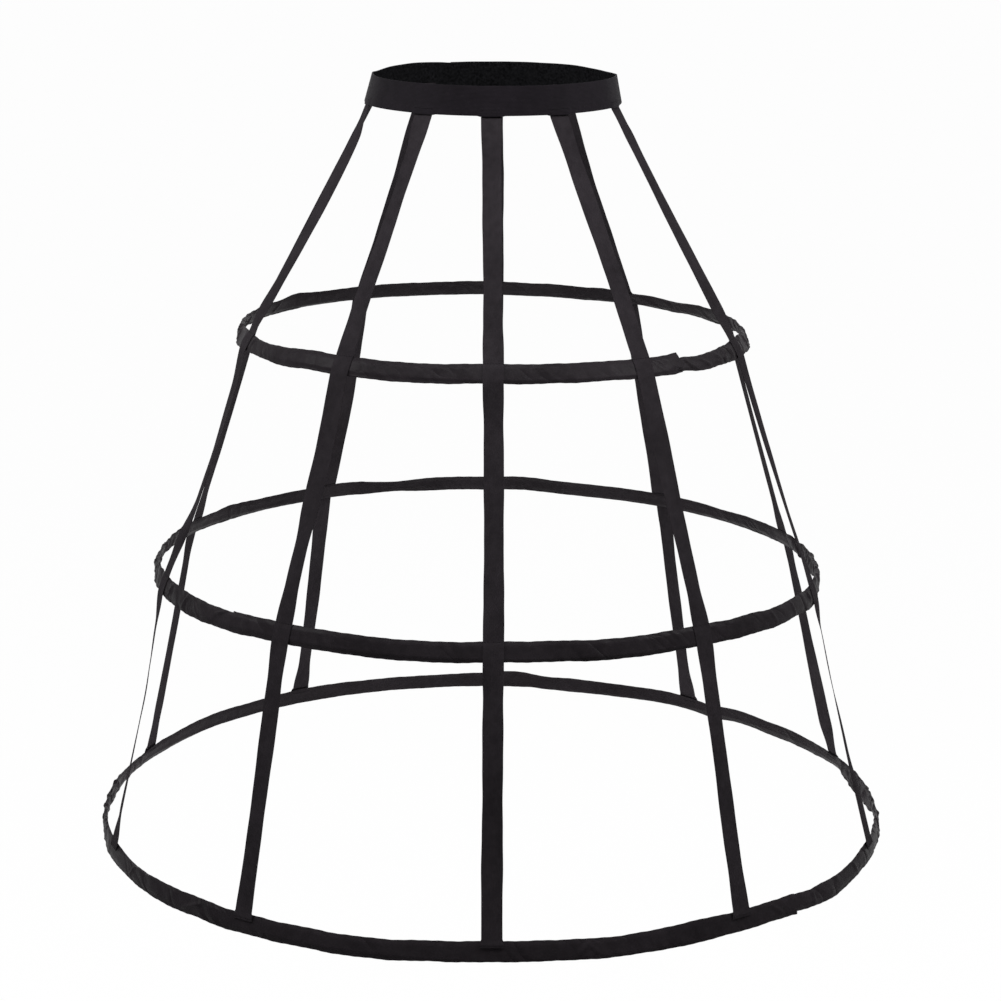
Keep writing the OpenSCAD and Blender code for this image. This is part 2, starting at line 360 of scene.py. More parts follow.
# Casings

# Creases of a casing: how many per metre, and the least and the most of each measure
CREASES_PER_M = 52
CREASE_L = (0.010, 0.021)
CREASE_W = (0.0026, 0.0052)
CREASE_H = (0.0006, 0.0014)
CREASE_SLANT = (25, 75)
# How round the crest of a crease is, as a share of its width
CREASE_CREST = 0.12
# Where a casing is more crumpled than elsewhere: turn, half width in turns, how much more
CRUMPLES = (
    ((-90, 32, 1), (90, 36, 1), (62, 16, 0.6), (140, 12, 0.3)),
    ((-90, 32, 1), (92, 34, 1), (-58, 14, 0.4), (-125, 14, 0.3)),
    ((-90, 32, 0.8), (92, 36, 0.8), (-45, 14, 0.2), (50, 14, 0.2)),
)
CALM_LEVEL = 0.10
# Single folds: turn, height up the casing, slant, half length, half width, lift and side, in
# millimetres and degrees. A slant over 0 climbs towards the greater turn.
FOLDS = (
    ((47.5, -1, -55, 11, 2.2, 1.6, 1), (53, -2, -32, 14, 2.4, 1.5, 1), (59, -1, -30, 12, 2.4, 1.4, 1),
     (66, 0, -62, 11, 2.6, 2.1, 1), (-67, 0, 60, 11, 2.6, 2.1, 1), (-74, -1, 72, 10, 2.6, 2, 1),
     (-32, 0, 55, 12, 4, 0.7, 1), (-49, 0, 50, 12, 4, 0.9, 1), (-116, 0, -60, 12, 2.6, 1.4, -1),
     (139, 0, 60, 11, 2.6, 1.4, -1)),
    ((-48.5, 4.5, 23, 15, 2.4, 1.7, 1), (-60, 0, 62, 12, 2.4, 1.9, 1), (-67, 0, 70, 11, 2.4, 1.9, 1),
     (-123, 1, 65, 12, 2.6, 1.5, -1), (-126, 0, 70, 10, 2.6, 1.4, -1), (-112, -1, -70, 12, 2.6, 1.6, -1),
     (55, 0, -60, 12, 2.6, 1.3, 1), (62, 0, -66, 12, 2.6, 1.5, 1), (70, 0, -70, 11, 2.6, 1.6, 1),
     (-36, -3, -45, 9, 2.2, 0.9, 1), (-33, -2, 50, 8, 2.2, 0.9, 1)),
    ((-45, -1, 23, 20, 2.8, 2, 1), (12.3, 2, 48, 9, 2.2, 1.8, 1), (14.2, 1, -48, 9, 2.2, 1.9, 1),
     (51, 0, -78, 10, 2.4, 1.8, 1), (43, 3, -40, 11, 2.4, 1.6, 1), (-61, 0, 55, 14, 2.6, 1.7, 1),
     (64, 0, -60, 13, 2.6, 1.4, 1), (-134, 0, 60, 12, 2.6, 1.2, -1), (126, 0, -60, 12, 2.6, 1.2, -1)),
)
# Folds bunched at the sides of every casing, on both its faces: turn to either side, slant and lift
SIDE_FOLDS = (
    (80, 66, 1.7), (84.5, -58, 2.2), (89, 74, 1.7), (94, -64, 2), (99.5, 60, 1.7), (105, -70, 1.5),
)
SIDE_FOLD_L = 0.009
SIDE_FOLD_W = 0.0027
# At the front each casing hangs steeper below its bone than the slope of the tapes, by this much
HANG_IN = (2, 9, 9)


def crumple_of(index, turn):
    """How strongly a casing is creased at a turn."""
    extra = sum(more * bump_at(apart(turn, at), 0, half) for at, half, more in CRUMPLES[index])
    return CALM_LEVEL + extra


def creases(index, length):
    """The creases of one casing, each as turn, level, slant, size, height and side."""
    draw = random.Random(40 + index)
    found = [
        (turn, up / 1000, math.radians(slant), long_ / 1000, wide / 1000, high / 1000, face)
        for turn, up, slant, long_, wide, high, face in FOLDS[index]
    ]
    for turn, slant, high in SIDE_FOLDS:
        for way in (1, -1):
            level = 0.0015 * way * math.copysign(1, slant)
            for face in (1, -1):
                found.append((
                    way * (turn + 1.3 * index), level, math.radians(way * slant),
                    SIDE_FOLD_L, SIDE_FOLD_W, high / 1000, face,
                ))
    singles = len(found)
    for _ in range(round(CREASES_PER_M * length)):
        slant = draw.uniform(*CREASE_SLANT) * draw.choice((1, 1, -1))
        found.append((
            draw.uniform(-180, 180),
            draw.uniform(-1, 1) * CASING_HALF_W,
            math.radians(slant),
            draw.uniform(*CREASE_L),
            draw.uniform(*CREASE_W),
            draw.uniform(*CREASE_H),
            draw.choice((1, -1)),
        ))
    return found[:singles], found[singles:]


def crease_heights(found, radius, turn, up, side):
    """How far the creases lift each point of the cloth, each with a sharp crest and flat flanks."""
    lift = np.zeros(len(turn))
    for middle, level, slant, long_, wide, high, face in found:
        gap = np.radians(apart(turn, middle)) * radius
        near = (np.abs(gap) < 1.6 * long_) & (side * face > 0)
        d_along, d_up = gap[near], up[near] - level
        length = (d_along * math.cos(slant) + d_up * math.sin(slant)) / long_
        width = (d_up * math.cos(slant) - d_along * math.sin(slant)) / wide
        crest = np.clip(1 - np.sqrt(width ** 2 + CREASE_CREST ** 2), 0, None)
        ends = np.clip(1 - length ** 2, 0, None)
        lift[near] = np.maximum(lift[near], high * crest * ends)
    return lift


def ripple(along, seed, spans, heights):
    """An uneven wave along the cloth, as a sum of waves with set spans and drawn phases."""
    draw = random.Random(seed)
    return sum(
        height * np.sin(2 * np.pi * along / span + draw.uniform(0, 2 * np.pi))
        for span, height in zip(spans, heights)
    )


def casing(index):
    """The flattened satin tube round one hoop, its upper end lapped over its lower one."""
    hoop = hoops[index]
    way = math.copysign(1, LAP_TURN[index])
    lap_turn = math.degrees(CASING_LAP / hoop["radius"])
    length = (2 * math.pi + math.radians(lap_turn)) * hoop["radius"]
    rows = round(length / CASING_STEP)
    strip, share, round_ = new_strip(HOOPS[index] + "_casing_cloth", rows, CASING_SIDES)
    along = share * length
    turn = LAP_TURN[index] + way * (np.degrees(along / hoop["radius"]) - lap_turn)
    if way < 0:
        round_ = 1 - round_
    # Once round the flat tube: down its outer face, and up its inner one
    swing = np.cos(2 * np.pi * round_)
    level = -(0.5 * swing + 0.5 * (1 - 2 * np.abs(apart(360 * round_, 0)) / 180))
    side = np.where(round_ < 0.5, 1, -1)

    # The lower end slips inside, and the upper end is a little fuller
    tuck = 1 - smooth_step(along, CASING_LAP, CASING_LAP + TUCK_FADE)
    full = smooth_step(along, length - CASING_LAP - SWELL_FADE, length - CASING_LAP)
    off_tape = to_seam(turn, hoop["seams"], hoop["radius"])
    shown = smooth_step(along, CASING_LAP - 0.002, CASING_LAP + 0.004)
    free = smooth_step(off_tape, 0.010, 0.022) * shown
    on_tape = 1 - smooth_step(off_tape, 0.010, 0.014)
    crumple = crumple_of(index, turn) * free

    narrow = np.ones(len(turn))
    for at, half, _, share_w in TWISTS[index]:
        narrow *= 1 - (1 - share_w) * bump_at(apart(turn, at), 0, half)
    slim = (1 - LAP_SHARE[index]) * (1 - smooth_step(along, CASING_LAP, CASING_LAP + LAP_FADE))
    half_w = CASING_HALF_W * narrow * (1 - slim + 0.03 * full)
    half_t = CASING_HALF_T - 0.0002 * tuck + 0.0003 * full
    edge = ripple(along, 7 + index, (0.013, 0.031, 0.057), (0.0001, 0.00012, 0.00012)) * (level > 0)
    edge += ripple(along, 17 + index, (0.011, 0.029, 0.061), (0.0001, 0.00012, 0.00012)) * (level < 0)
    middle = rise_of(index, turn) - slim * CASING_HALF_W * LAP_EDGE[index]
    upper = np.maximum(middle + half_w, BONE_COVER)
    lower = np.minimum(middle - half_w, -BONE_COVER)
    up = (upper + lower) / 2 + (upper - lower) / 2 * level + edge * (1 + crumple) * np.abs(level) ** 2
    belly = CASING_THIN + (1 - CASING_THIN) * smooth_step(-np.abs(level - 0.08), -0.95, -0.40)
    nose = np.clip(half_w * (1 - np.abs(level)) / CASING_NOSE, 0, 1)
    flat_share = np.sqrt(1 - (1 - nose) ** 2)
    across = half_t * belly
    # The row of stitches at each tape pinches the casing's top edge
    across *= 1 - 0.4 * on_tape * smooth_step(level, 0.6, 0.9)

    folds, found = creases(index, length)
    across += crease_heights(found, hoop["radius"], turn, up, side) * crumple
    across += crease_heights(folds, hoop["radius"], turn, up, side) * free
    soft = ripple(along + 0.6 * up, 27 + index, (0.021, 0.034, 0.055), (0.00016,) * 3)
    soft += ripple(along - 0.9 * up, 37 + index, (0.017, 0.029, 0.047), (0.00014,) * 3)
    across += soft * (0.25 + crumple) * free
    across = np.maximum(across, 0.0003) * flat_share * side
    # Both layers hang in below the bone, and sway together where the casing is crumpled
    below = np.clip(-BONE_REACH - up, 0, None) * (1 - smooth_step(np.abs(apart(turn, 0)), 28, 60))
    across -= below * math.tan(math.radians(HANG_IN[index]))
    sway = ripple(along - 0.5 * up, 57 + index, (0.019, 0.033, 0.061), (0.0005, 0.0005, 0.0004))
    across += sway * crumple * smooth_step(np.abs(level), 0.3, 1)

    tip = sum(degrees * bump_at(apart(turn, at), 0, half) for at, half, degrees in TIPS[index])
    across += np.clip(up, None, 0) * np.tan(np.radians(tip * free))

    # The casing twists about its bone, and the cloth stays clear of the steel inside it
    turned_across, turned_up = twisted(index, turn, across, up)
    off_bone = np.clip(np.abs(turned_up) - BONE_REACH, 0, None)
    least = BONE_ROOM - BONE_EASE * off_bone
    turned_across = np.where(
        side > 0, np.maximum(turned_across, least), np.minimum(turned_across, -least))
    points = place_on(index, turn, turned_across, turned_up)
    shape_strip(strip, points, length, 4 * CASING_HALF_W)
    creased = strip.data.attributes.new("creased", "FLOAT", "POINT")
    creased.data.foreach_set("value", crumple.astype(np.float32))
    make_active(strip)
    bpy.ops.object.mode_set(mode="EDIT")
    bpy.ops.mesh.select_all(action="SELECT")
    bpy.ops.mesh.remove_doubles(threshold=0.00002)
    bpy.ops.object.mode_set(mode="OBJECT")
    apply_modifier(strip, "SOLIDIFY", thickness=SATIN_T, offset=-1)
    set_smooth(strip, 50)
    return strip, length


# Tapes

# A tape hangs off its upright plane and turns on itself between its seams. Each knot is a drop
# below the waist in metres, the drift towards +X in millimetres and the turn on itself in degrees.
HANG = {
    "tape_front": (
        (0.02, -1.3, -16), (0.10, -1, -24), (0.18, -0.8, -26), (0.24, -0.2, -15), (0.31, 0.4, -22),
        (0.44, 0.4, -20), (0.53, -0.3, -20), (0.62, -0.8, -12), (0.71, -1.5, -4), (0.76, -1.5, 0)),
    "tape_front_left": (
        (0.02, -0.9, 4), (0.05, -1.3, 11), (0.10, -1.1, 5), (0.17, -0.9, 6), (0.23, -2.6, 0),
        (0.27, -1.8, 0), (0.33, -0.6, 0), (0.37, 0, 5), (0.41, 1.4, 13), (0.49, 3.2, 12),
        (0.55, 2.3, 9), (0.61, 1.6, 10), (0.68, 0, 8), (0.74, -0.3, 5)),
    "tape_side_left": (
        (0.02, -1.5, 0), (0.03, -0.5, -8), (0.07, -1.2, -4), (0.12, -1.6, -7), (0.18, -1.2, -14),
        (0.23, -1, -17), (0.27, -2.4, 0), (0.34, -1.4, 4), (0.42, 0.9, 9), (0.48, 4, 7),
        (0.50, 4, 11), (0.53, 2, 15), (0.60, 0, 14), (0.67, -0.6, 10), (0.70, 0.8, 1), (0.75, 1.1, 0)),
    "tape_rear_side_left": (
        (0.02, 1, 0), (0.20, 1.5, -6), (0.28, 1.6, -10), (0.36, 1.1, -10), (0.45, 1, -9),
        (0.52, 0.6, -6), (0.56, 1, 1), (0.62, 0.6, 6), (0.68, 0.5, 13), (0.72, 0.6, 18),
        (0.75, 1.4, 11)),
    "tape_back_left": (
        (0.03, 2, 0), (0.07, 0, 0), (0.12, -1, 5), (0.18, 0.7, 0), (0.22, 1.6, 0), (0.27, 2.2, 0),
        (0.36, 1.6, -5), (0.47, 1, -5), (0.52, 0, -12), (0.57, -1.1, -14), (0.65, -0.9, -16),
        (0.71, -0.5, -19), (0.75, 1, -10)),
    "tape_back": (
        (0.02, 0, 0), (0.12, 0.6, 8), (0.25, 0, 0), (0.38, -0.8, -10), (0.62, 0.6, 8), (0.76, 0, 0)),
    "tape_back_right": (
        (0.03, -0.5, 0), (0.07, -0.3, 0), (0.10, 1, 0), (0.18, 0.9, 4), (0.23, -0.6, 0),
        (0.27, 0.6, 0), (0.32, 2.7, 0), (0.38, 3.1, 0), (0.44, 2.4, 5), (0.48, 0.3, 0),
        (0.55, 1.1, 6), (0.63, 1.3, 13), (0.69, 0, 18), (0.72, -0.9, 21), (0.74, -2, 6)),
    "tape_rear_side_right": (
        (0.02, -0.5, 0), (0.24, -1, 1), (0.262, -3.2, 3), (0.30, -2.2, 4), (0.40, -0.8, 6),
        (0.45, -1.2, 9), (0.49, 0, 7), (0.51, -0.8, 9), (0.54, -0.4, 6), (0.60, -0.2, 5),
        (0.70, -0.9, 3), (0.75, -1.6, 9)),
    "tape_side_right": (
        (0.02, -3.1, -8), (0.035, 0.6, 12), (0.06, 2.3, 19), (0.11, 3.4, 15), (0.15, 2.7, 11),
        (0.19, 1, 6), (0.22, -1.2, 14), (0.25, 1, 4), (0.28, 4.8, -2), (0.36, 6.2, -9),
        (0.41, 5, -8), (0.44, 0.8, 9), (0.48, -2.4, -4), (0.51, -0.4, -10), (0.55, 1.8, -13),
        (0.60, 3.7, -15), (0.67, 3.4, -15), (0.75, 2.8, -14)),
    "tape_front_right": (
        (0.02, -2.2, 0), (0.04, -0.2, -16), (0.09, 0.5, -22), (0.13, 1, -18), (0.18, 0.1, -4),
        (0.21, 1.2, -6), (0.25, 2.4, 0), (0.30, 3.8, 3), (0.33, 4, 0), (0.37, 2.4, 0),
        (0.40, 1.8, -16), (0.43, 0.8, -14), (0.52, 0.6, -9), (0.56, 1.1, -5), (0.70, 1.7, -9),
        (0.74, 1.4, -6)),
}
# Where a drift changes, the cloth takes this length to follow
EASE = 0.010
# A tape's cross-section bows by up to this much, and its edges waver
TAPE_BOW = 0.0011
# Near the sides a hoop hardly runs along X, so at least this share of it is taken to
LEAST_SIDE = 0.3
# How far up the waistband each tape's row of stitches lies; the back one is sewn close to its edge
BAND_SEAM = [-0.0092] * len(TAPES)
BAND_SEAM[TAPES.index("tape_back")] = -0.0132


def hang_of(name, drop):
    """The drift of a tape towards +X and its turn on itself, at a drop below the waist."""
    drops, drifts, turns = zip(*HANG[name])
    spread = np.atleast_1d(drop)[:, None] + np.linspace(-EASE, EASE, 7)
    return np.interp(spread, drops, drifts).mean(1) / 1000, np.interp(spread, drops, turns).mean(1)


def moved_turn(name, turn, drop, radius):
    """The turn of a seam once its tape's drift there has moved it along the hoop."""
    drift = float(hang_of(name, drop)[0][0])
    side = math.cos(math.radians(turn))
    side = math.copysign(max(abs(side), LEAST_SIDE), side)
    return turn + math.degrees(drift / radius / side)


def seam_turn(index, k):
    hoop = hoops[k]
    return moved_turn(TAPES[index], hoop["crossings"][index], -hoop["middle"][2], hoop["radius"])


def waist_seam_turn(index):
    return moved_turn(TAPES[index], leaving(tapes[index]), -band["low_z"], band["low_r"])


def tape_stations(index):
    """The outer face of a tape as a list of place, turn of its face, and share of its width."""
    waist_turn = waist_seam_turn(index)
    inside = -BAND_T - BAND_PLAY
    stops = []

    def stop(point, turn, wide=1.0):
        stops.append((np.array(point), turn, wide))

    for up in (BAND_SEAM[index] + 0.0014, BAND_SEAM[index] - 0.0005, -0.0140):
        stop(place_on_band(waist_turn, inside, up), waist_turn)
    stop(place_on_band(waist_turn, inside + BAND_PLAY, -0.0158), waist_turn)
    # Down over each casing, as how far out and how far up from the middle of its width
    for k in (TOP, MIDDLE):
        turn = seam_turn(index, k)
        for across, up in ((0.0013, 0.0110), (0.0012, 0.0094), (TAPE_SEAT, 0.0062),
                           (TAPE_SEAT + 0.0001, 0.0), (TAPE_SEAT, -0.0070), (0.0016, -0.0105)):
            stop(on_casing(k, turn, across, up), turn)
    turn = seam_turn(index, BOTTOM)
    fold = TAPE_T + 0.00006
    top = TAPE_SEAT + 2 * fold
    for across, up, wide in ((0.0026, 0.0118, 1.0), (0.0026, 0.0100, FOOT_EASED),
                             (top, 0.0080, 1.1), (top, 0.0052, FOOT_WIDE)):
        stop(on_casing(BOTTOM, turn, across, up), turn, wide)
    for step in range(7):
        swing = math.pi * step / 6
        across, up = TAPE_SEAT + fold + fold * math.cos(swing), 0.0044 - 0.0008 * math.sin(swing)
        stop(on_casing(BOTTOM, turn, across, up), turn, FOOT_WIDE)
    for up in (0.0062, 0.0088):
        stop(on_casing(BOTTOM, turn, TAPE_SEAT, up), turn, FOOT_EASED)
    return stops


def tape(index):
    """One hanging tape, from inside the waistband to its folded foot."""
    name = TAPES[index]
    stops = tape_stations(index)
    places, turns, wides = [], [], []
    for here, after in zip(stops[:-1], stops[1:]):
        gap = np.linalg.norm(after[0] - here[0])
        count = max(1, round(gap / TAPE_STEP))
        t = np.arange(count) / count
        soft = t * t * (3 - 2 * t)
        place = here[0] * (1 - t)[:, None] + after[0] * t[:, None]
        turn = here[1] + (after[1] - here[1]) * soft
        if gap > 0.05:
            # Between two seams the tape keeps its ends and takes up its drift and turn
            drift, twist = hang_of(name, -place[:, 2])
            ends, _ = hang_of(name, -np.array([here[0][2], after[0][2]]))
            place[:, 0] += drift - ends[0] * (1 - t) - ends[1] * t
            free = smooth_step(np.minimum(t, 1 - t) * gap, 0, 0.035)
            turn = turn + twist * free
        places += list(place)
        turns += list(turn)
        wides += list(here[2] * (1 - t) + after[2] * t)
    places.append(stops[-1][0])
    turns.append(stops[-1][1])
    wides.append(stops[-1][2])
    places, turns, wides = np.array(places), np.radians(turns), np.array(wides)
    rows = len(places) - 1
    length = np.linalg.norm(np.diff(places, axis=0), axis=1).sum()
    strip, share, cross = new_strip(name + "_cloth", rows, TAPE_COLUMNS)
    row = np.rint(share * rows).astype(int)
    width_way = np.stack([np.cos(turns), np.sin(turns), np.zeros(rows + 1)], axis=-1)
    out_way = np.stack([np.sin(turns), -np.cos(turns), np.zeros(rows + 1)], axis=-1)
    # Between its seams the tape bows across its width, one way and then the other
    down = share * length
    seats = [-band["low_z"]] + [-hoop["middle"][2] for hoop in hoops]
    from_seam = np.min([np.abs(places[:, 2] + seat) for seat in seats], axis=0)[row]
    loose = smooth_step(from_seam, 0.012, 0.05)
    bow = TAPE_BOW * loose * (0.5 + ripple(down, 60 + index, (0.31, 0.17, 0.09), (0.6, 0.4, 0.2)))
    waver = loose * ripple(down, 80 + index, (0.12, 0.043), (0.0003, 0.0001)) * np.sign(cross - 0.5)
    sideways = (cross - 0.5) * TAPE_W * wides[row] + waver * np.abs(2 * cross - 1)
    points = places[row] + width_way[row] * sideways[:, None]
    points += out_way[row] * (bow * (1 - (2 * cross - 1) ** 2))[:, None]
    shape_strip(strip, points, length, TAPE_W)
    apply_modifier(strip, "SOLIDIFY", thickness=TAPE_T, offset=-1)
    set_smooth(strip, 40)
    return strip, length


# Waistband

BAND_LAP = 0.014
BAND_LAP_TURN = 199
BAND_ROWS = 400
BAND_COLUMNS = 16
# The band's bottom edge drops and swells where a tape is sewn behind it
BAND_TAB_DROP = 0.0009
BAND_TAB_SWELL = 0.0005


def waistband():
    """The elastic waistband, its outer end lapped over its inner one at the back."""
    middle_r = (band["top_r"] + band["low_r"]) / 2
    lap_turn = math.degrees(BAND_LAP / middle_r)
    length = (2 * math.pi + math.radians(lap_turn)) * middle_r
    strip, share, height = new_strip("waistband_elastic", BAND_ROWS, BAND_COLUMNS)
    along = share * length
    turn = BAND_LAP_TURN - lap_turn / 2 + np.degrees(along / middle_r)
    under = 1 - smooth_step(along, BAND_LAP, BAND_LAP + 0.012)
    off_tape = to_seam(turn, [waist_seam_turn(i) for i in range(len(TAPES))], band["low_r"])
    tab = 1 - smooth_step(off_tape, 0.0105, 0.0140)
    low = smooth_step(-height, -0.35, -0.10)
    up = (height - 0.5) * BAND_W - BAND_TAB_DROP * tab * low
    across = BAND_TAB_SWELL * tab * low - 1.03 * BAND_T * under
    across += ripple(along, 3, (0.031, 0.057, 0.123), (0.0001, 0.00015, 0.0002))
    shape_strip(strip, place_on_band(turn, across, up), length, BAND_W)
    # The inner face takes the darker plush, which paints the shade inside the band
    for material in (elastic, plush_and_painted_shade):
        strip.data.materials.append(material)
    apply_modifier(strip, "SOLIDIFY", thickness=BAND_T, offset=-1, material_offset=1)
    apply_modifier(strip, "BEVEL", width=0.0004, segments=3, limit_method="ANGLE")
    set_smooth(strip, 40)
    return strip, length


# Stitches


def new_stitch():
    """One stitch of thread that lies along X: a bead drawn out and rounded at both ends."""
    clear_selection()
    bpy.ops.mesh.primitive_uv_sphere_add(segments=6, ring_count=5, radius=STITCH_R)
    bpy.ops.object.mode_set(mode="EDIT")
    bpy.ops.mesh.select_all(action="SELECT")
    bpy.ops.transform.rotate(value=math.pi / 2, orient_axis="Y", center_override=(0, 0, 0))
    bpy.ops.transform.resize(value=(STITCH_L / 2 / STITCH_R, 1, 1))
    bpy.ops.object.mode_set(mode="OBJECT")
    stitch = bpy.context.object
    make_active(stitch)
    bpy.ops.object.shade_smooth()
    return stitch


def sew(name, places):
    """A copy of the stitch at each place, which gives a point, its direction and its outward side."""
    master = new_stitch()
    copies = []
    for point, way, out in places:
        x = Vector(way).normalized()
        z = Vector(out).normalized()
        y = z.cross(x).normalized()
        turned = Matrix((x, y, z)).transposed().to_4x4()
        copy = master.copy()
        copy.data = master.data.copy()
        copy.data.transform(Matrix.Translation(Vector(point)) @ turned)
        bpy.context.collection.objects.link(copy)
        copies.append(copy)
    bpy.data.objects.remove(master)
    clear_selection()
    for copy in copies:
        copy.select_set(True)
    bpy.context.view_layer.objects.active = copies[0]
    bpy.ops.object.join()
    row = bpy.context.object
    row.name = name
    row.data.name = name
    return row


def row_of(middle, way, out, width):
    """Places of a straight row of stitches across a tape."""
    count = int(width / STITCH_PITCH)
    way = np.array(way) / np.linalg.norm(way)
    return [
        (middle + way * STITCH_PITCH * (i - (count - 1) / 2), way, out)
        for i in range(count)
    ]


def face_ways(turn, lean):
    """Along the hoop, and straight out of its slope, at a turn."""
    angle = math.radians(turn)
    along = np.array([math.cos(angle), math.sin(angle), 0])
    out = np.array([math.sin(angle) * math.cos(lean), -math.cos(angle) * math.cos(lean), math.sin(lean)])
    return along, out


def hoop_stitches(k):
    """The rows that hold the tapes to one hoop, on the outer and the inner face."""
    hoop = hoops[k]
    places = []
    for turn in hoop["seams"]:
        along, out = face_ways(turn, hoop["lean"])
        rows = (0.0013, 0.0093), (-CASING_HALF_T * 0.45, 0.0086)
        wide = TAPE_W
        if k == BOTTOM:
            rows = (TAPE_SEAT + 2 * TAPE_T + 0.0002, 0.0060), (-CASING_HALF_T - 0.00005, 0.0060)
            wide = 1.15 * TAPE_W
        outer, inner = [on_casing(k, turn, across, up) for across, up in rows]
        places += row_of(outer, along, out, wide)
        places += row_of(inner, along, -out, wide)
    return sew(HOOPS[k] + "_hoop_stitches", places)


def band_stitches():
    """The rows that hold the tapes inside the waistband, seen from both sides."""
    places = []
    for index in range(len(TAPES)):
        turn = waist_seam_turn(index)
        along, out = face_ways(turn, band_slope)
        outer = place_on_band(turn, BAND_TAB_SWELL * 0.5 + 0.00006, BAND_SEAM[index])
        places += row_of(outer, along, out, 1.15 * TAPE_W)
        inner = place_on_band(turn, -BAND_T - TAPE_T - BAND_PLAY, BAND_SEAM[index])
        places += row_of(inner, along, -out, 0.95 * TAPE_W)
    return sew("waistband_stitches", places)


# Materials

BLACK_SATIN = (0.0115, 0.0098, 0.0112)
BLACK_TAPE = (0.0138, 0.0119, 0.0136)
BLACK_ELASTIC = (0.0047, 0.0037, 0.0050)
# The inner face of the band is darker than its outer face: painted shade inside the band, over a brushed
# nap
BLACK_PLUSH_AND_PAINTED_SHADE = (0.0028, 0.0028, 0.0031)
# The thread is darker than the tape it holds: painted shade of the groove that each row of stitches
# presses in
BLACK_THREAD_AND_PAINTED_SHADE = (0.0040, 0.0034, 0.0042)
LINT = (0.03, 0.029, 0.03)
STEEL = (0.55, 0.56, 0.58)
CRIMPED_METAL = (0.60, 0.60, 0.62)


def fill(tree, node, inputs):
    """Sets a node's inputs, each to a value or by a link from a socket."""
    for key, value in inputs.items():
        if isinstance(value, bpy.types.NodeSocket):
            tree.links.new(value, node.inputs[key])
        else:
            node.inputs[key].default_value = value
    return node


def add_node(tree, kind, inputs=(), **settings):
    node = tree.nodes.new("ShaderNode" + kind)
    for name, value in settings.items():
        setattr(node, name, value)
    return fill(tree, node, dict(inputs))


def calc(tree, operation, *values, clamp=False):
    node = add_node(tree, "Math", enumerate(values), operation=operation, use_clamp=clamp)
    return node.outputs[0]


def spread(tree, value, low, high, to_low, to_high):
    """A value's range carried over to another range, and held inside it."""
    node = add_node(tree, "MapRange", (
        ("Value", value), ("From Min", low), ("From Max", high), ("To Min", to_low), ("To Max", to_high),
    ))
    return node.outputs["Result"]


def noise(tree, place, scale, detail=2, stretch=(1, 1, 1), distortion=0):
    """Values of a noise about 0.5, stretched along some axes."""
    held = add_node(tree, "Mapping", (("Vector", place), ("Scale", stretch)))
    found = add_node(tree, "TexNoise", (
        ("Vector", held.outputs[0]), ("Scale", scale), ("Detail", detail), ("Distortion", distortion),
    ))
    return found.outputs["Fac"]


def new_group(name, inputs, outputs):
    """A shared node group with its sockets, as the tree, its inputs and its outputs."""
    tree = bpy.data.node_groups.new(name, "ShaderNodeTree")
    for way, sockets in (("INPUT", inputs), ("OUTPUT", outputs)):
        for socket, kind in sockets:
            tree.interface.new_socket(name=socket, in_out=way, socket_type="NodeSocket" + kind)
    return tree, tree.nodes.new("NodeGroupInput").outputs, tree.nodes.new("NodeGroupOutput")


def use_group(tree, group, **inputs):
    node = add_node(tree, "Group", (), node_tree=group)
    fill(tree, node, {key.replace("_", " "): value for key, value in inputs.items()})
    return node.outputs


def new_weave():
    """Threads over and under each other, with a pitch along the cloth and one across it."""
    tree, given, result = new_group(
        "weave", (("Cloth", "Vector"), ("Pitch Along", "Float"), ("Pitch Across", "Float")),
        (("Height", "Float"), ("Gap", "Float")))
    axes = add_node(tree, "SeparateXYZ", (("Vector", given["Cloth"]),)).outputs
    wobble = noise(tree, given["Cloth"], 900, 1)
    waves = []
    for axis, pitch in (("X", "Pitch Along"), ("Y", "Pitch Across")):
        angle = calc(tree, "DIVIDE", calc(tree, "MULTIPLY", axes[axis], math.pi), given[pitch])
        waves.append(calc(tree, "SINE", calc(tree, "ADD", angle, wobble)))
    over = calc(tree, "MULTIPLY", *waves)
    height = calc(tree, "MULTIPLY_ADD", over, 0.5, 0.5)
    gap = spread(tree, calc(tree, "ABSOLUTE", over), 0.0, 0.35, 1, 0)
    fill(tree, result, {"Height": height, "Gap": gap})
    return tree


def new_ribs():
    """Fine ribs that run along the cloth, a little uneven."""
    tree, given, result = new_group(
        "ribs", (("Cloth", "Vector"), ("Pitch", "Float")), (("Height", "Float"),))
    axes = add_node(tree, "SeparateXYZ", (("Vector", given["Cloth"]),)).outputs
    wobble = noise(tree, given["Cloth"], 300, 2, (0.3, 1, 1))
    angle = calc(tree, "DIVIDE", calc(tree, "MULTIPLY", axes["Y"], 2 * math.pi), given["Pitch"])
    wave = calc(tree, "SINE", calc(tree, "MULTIPLY_ADD", wobble, 2.5, angle))
    fill(tree, result, {"Height": calc(tree, "MULTIPLY_ADD", wave, 0.5, 0.5)})
    return tree


def new_wear():
    """Soft blotches of tone, and specks of lint, both fixed to the object."""
    tree, given, result = new_group(
        "wear", (("Place", "Vector"),), (("Tone", "Float"), ("Lint", "Float"), ("Grain", "Float")))
    broad = noise(tree, given["Place"], 14, 4)
    close = noise(tree, given["Place"], 130, 3)
    tone = calc(tree, "ADD", calc(tree, "MULTIPLY", broad, 0.6), calc(tree, "MULTIPLY", close, 0.4))
    grain = noise(tree, given["Place"], 1400, 2)
    hairs = noise(tree, given["Place"], 520, 1, (1, 1, 2.4), 1.5)
    fill(tree, result, {
        "Tone": spread(tree, tone, 0.3, 0.7, 0, 1),
        "Lint": spread(tree, hairs, 0.74, 0.80, 0, 1),
        "Grain": grain,
    })
    return tree


